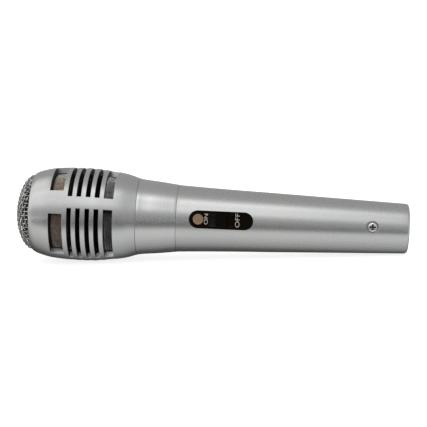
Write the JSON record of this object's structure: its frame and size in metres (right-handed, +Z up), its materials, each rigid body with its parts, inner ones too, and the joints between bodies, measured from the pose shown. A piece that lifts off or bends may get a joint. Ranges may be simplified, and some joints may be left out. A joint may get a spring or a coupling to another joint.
{
  "type": "dynamic microphone",
  "caption": "Handheld dynamic microphone with a woven dome, slotted metal head, on/off slide switch and male three-pin tail socket, lying on its side.",
  "frame": {"origin": "on the surface the microphone lies on, under the middle of its bounding box", "axes": "+X towards the tail, along the microphone's length as it lies; -Y is the side the switch faces; +Z up"},
  "size_m": [0.1898, 0.0452, 0.0457],
  "materials": {
    "satin_shell": "satin silver, fine bead-blasted grain, brighter at worn edges",
    "brushed_collar": "brushed round its circumference, slightly brighter than the handle",
    "satin_handle": "satin silver with fine turning marks",
    "dome_wire": "coarse woven bright wire",
    "liner_wire": "fine woven wire, grey",
    "foam": "open-cell dark foam",
    "steel": "plain machined steel",
    "capsule_alloy": "dull machined alloy",
    "film": "thin polyester film",
    "copper": "enamelled copper winding",
    "nickel_magnet": "nickel-plated magnet",
    "black_moulding": "black moulded plastic",
    "felt": "pale damping felt",
    "laminate": "brown laminate",
    "rubber": "black rubber",
    "black_switch": "black satin plastic",
    "beige_inlay": "beige-brown inlay and lettering",
    "contact_brass": "bare contact brass",
    "tinned_case": "dull tinned steel",
    "plated_pin": "plated brass pin",
    "dark_screw": "dark plated steel",
    "red_wire": "red wire sleeve",
    "blue_wire": "blue wire sleeve"
  },
  "bodies": {
    "handle": {"handle_body": "satin_handle", "collar_band": "brushed_collar", "neck_sleeve": "steel", "shock_mount": "rubber", "capsule_front_cap": "capsule_alloy", "capsule_housing": "capsule_alloy", "pole_piece": "steel", "magnet": "nickel_magnet", "magnet_yoke": "steel", "rear_chamber": "black_moulding", "rear_felt": "felt", "terminal_board": "laminate", "lead_hot": "red_wire", "lead_cold": "blue_wire", "lead_switch": "red_wire", "switch_plate": "black_switch", "indicator_dot": "beige_inlay", "switch_housing": "tinned_case", "switch_terminal_1": "contact_brass", "switch_terminal_2": "contact_brass", "switch_terminal_3": "contact_brass", "xlr_insert": "black_moulding", "xlr_shell": "steel", "xlr_pin_1": "plated_pin", "xlr_pin_2": "plated_pin", "xlr_pin_3": "plated_pin", "insert_screw": "dark_screw"},
    "seal_ring": {"head_seal": "rubber"},
    "head": {"head_shell": "satin_shell", "dome_mesh": "dome_wire", "mesh_retaining_ring": "steel", "inner_mesh_liner": "liner_wire", "foam_windscreen": "foam"},
    "moving_coil": {"diaphragm": "film", "voice_coil": "copper"},
    "switch_slider": {"switch_knob": "black_switch", "switch_wiper": "contact_brass"}
  },
  "joints": [
    {"name": "head_travel", "type": "slide", "parent": "handle", "child": "seal_ring", "axis": [-0.9976, 0, 0.0694], "range_m": [0, 0.00501]},
    {"name": "head_unscrew", "type": "hinge", "parent": "seal_ring", "child": "head", "pos_m": [-0.03596, 0, 0.02097], "axis": [-0.9976, 0, 0.0694], "range_deg": [0, 1800]},
    {"name": "switch_slide", "type": "slide", "parent": "handle", "child": "switch_slider", "axis": [-0.9962, -0.0404, 0.077], "range_m": [0, 0.003]},
    {"name": "diaphragm_move", "type": "slide", "parent": "handle", "child": "moving_coil", "axis": [0.9976, 0, -0.0694], "range_m": [-0.0002, 0.0002], "stiffness_N_per_m": 100}
  ],
  "couplings": [
    {"joint": "head_travel", "follows": "head_unscrew", "m_per_rad": 0.00015915}
  ]
}
